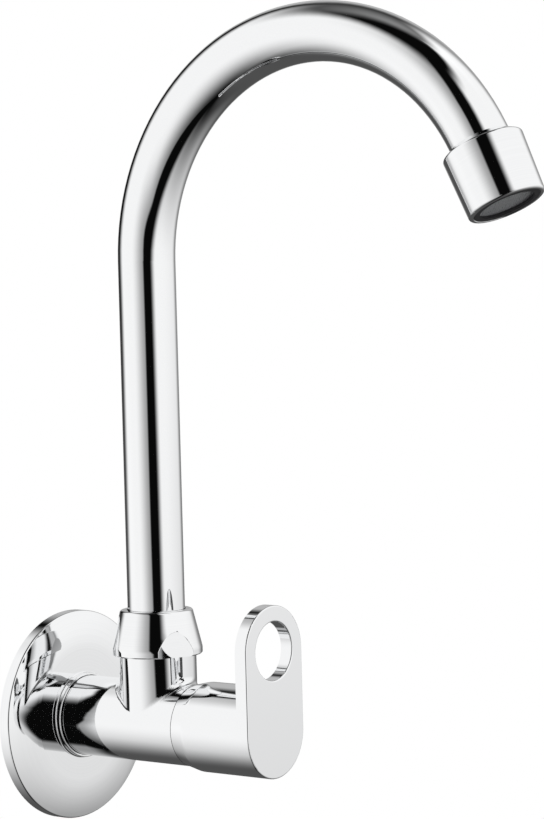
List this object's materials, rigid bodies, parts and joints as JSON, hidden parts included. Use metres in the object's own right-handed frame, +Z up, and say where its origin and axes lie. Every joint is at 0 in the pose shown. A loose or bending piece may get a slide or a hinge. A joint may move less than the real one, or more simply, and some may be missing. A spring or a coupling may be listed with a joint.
{
  "type": "kitchen tap",
  "caption": "Wall-mounted kitchen sink tap in chrome, with a swivelling gooseneck spout, an aerator nozzle, a round wall flange and a quarter-turn lever handle with a finger hole.",
  "frame": {"origin": "where the axis of the supply inlet crosses the wall, in the plane of the flange's back edge", "axes": "+Z up along the spout's riser, -Y out of the wall along the body, +X to the user's right"},
  "size_m": [0.0724, 0.2131, 0.2743],
  "materials": {
    "chrome_plate": "mirror-polished chrome plate on cast or drawn metal",
    "bare_brass": "machined brass, unplated",
    "black_rubber": "smooth black nitrile rubber",
    "white_nylon": "moulded natural nylon",
    "grey_plastic": "moulded grey acetal",
    "black_plastic": "moulded black plastic",
    "cap_plastic": "moulded silver-grey plastic",
    "red_fibre": "pressed red fibre",
    "alumina": "lapped alumina",
    "stainless": "stainless wire and turned steel"
  },
  "bodies": {
    "body": {"tap_body": "chrome_plate", "wall_flange": "chrome_plate", "spout_nut": "chrome_plate", "nut_friction_washer": "white_nylon", "cartridge_housing": "bare_brass", "housing_gasket": "red_fibre", "seat_seal": "black_rubber", "fixed_disc": "alumina"},
    "spout": {"spout_tube": "chrome_plate", "spout_ferrule": "bare_brass", "spout_o_rings": "black_rubber", "spout_slip_ring": "white_nylon", "spout_nozzle": "chrome_plate", "aerator_washer": "black_rubber", "aerator_shell": "black_plastic", "aerator_outlet_screens": "stainless", "aerator_core": "grey_plastic", "aerator_diffuser": "grey_plastic", "aerator_filter_screen": "stainless"},
    "handle": {"lever_handle": "chrome_plate", "spline_bush": "grey_plastic", "grub_screw": "stainless", "screw_cap": "cap_plastic", "spindle": "bare_brass", "spindle_o_rings": "black_rubber", "spindle_circlip": "stainless", "stop_ring": "bare_brass", "thrust_washer": "white_nylon", "moving_disc": "alumina"}
  },
  "joints": [
    {"name": "spout_swivel", "type": "hinge", "parent": "body", "child": "spout", "pos_m": [0, -0.0404, 0.031], "axis": [0, 0, 1], "range_deg": [-100, 100]},
    {"name": "handle_turn", "type": "hinge", "parent": "body", "child": "handle", "pos_m": [0, -0.07, 0], "axis": [0, -1, 0], "range_deg": [0, 90]}
  ]
}
